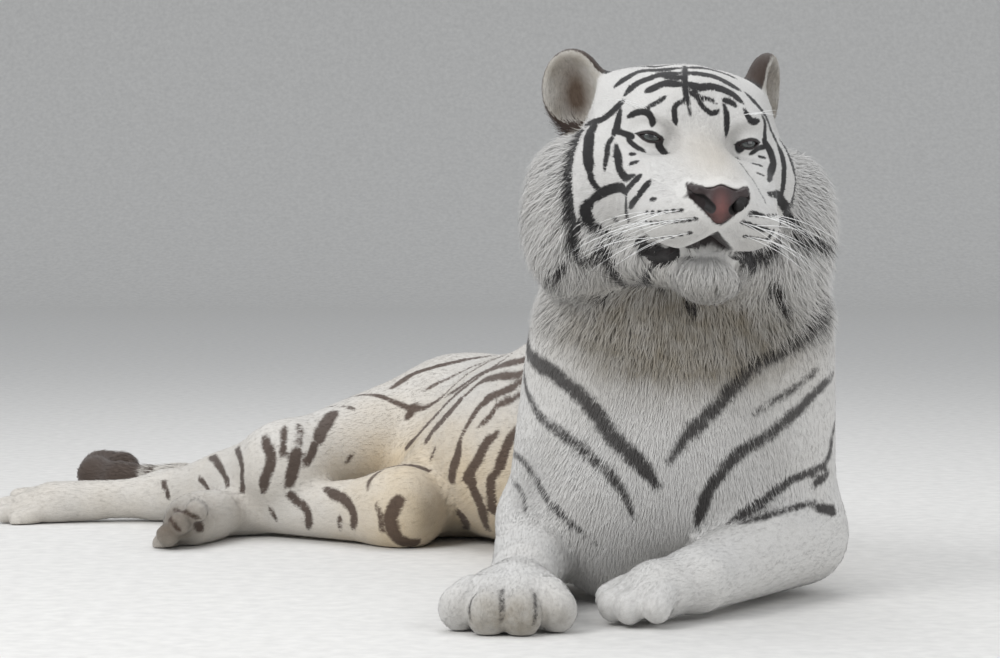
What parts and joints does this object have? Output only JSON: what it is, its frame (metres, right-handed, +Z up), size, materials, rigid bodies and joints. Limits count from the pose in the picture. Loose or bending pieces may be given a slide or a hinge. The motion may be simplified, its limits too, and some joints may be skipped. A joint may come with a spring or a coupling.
{
  "type": "resting white tiger",
  "caption": "Life-size still model of an adult white tiger lying with its chest and head raised, hindquarters rolled on one hip, tail along the ground.",
  "frame": {"origin": "on the floor, under the middle of the tiger's bounding box", "axes": "-Y the way the chest and forelegs point, +Y towards the rump, +X the tiger's left, +Z up"},
  "size_m": [1.3108, 1.9844, 0.7226],
  "materials": {
    "coat": "short dense fur, white with grey-brown stripes, cream on the flank and belly",
    "nose": "bare, damp, brownish-pink skin",
    "eye": "wet, pale blue iris with a round dark pupil",
    "whisker": "stiff white hair"
  },
  "bodies": {
    "root": {"head": "coat", "jaw": "coat", "nose_pad": "nose", "ear_left": "coat", "ear_right": "coat", "eye_left": "eye", "eye_right": "eye", "neck": "coat", "chest": "coat", "loin": "coat", "rump": "coat", "upper_arm_left": "coat", "forearm_left": "coat", "forepaw_left": "coat", "upper_arm_right": "coat", "forearm_right": "coat", "forepaw_right": "coat", "thigh_left": "coat", "shank_left": "coat", "hind_foot_left": "coat", "thigh_right": "coat", "shank_right": "coat", "hind_foot_right": "coat", "tail_root": "coat", "tail_middle": "coat", "tail_tip": "coat"}
  },
  "joints": []
}
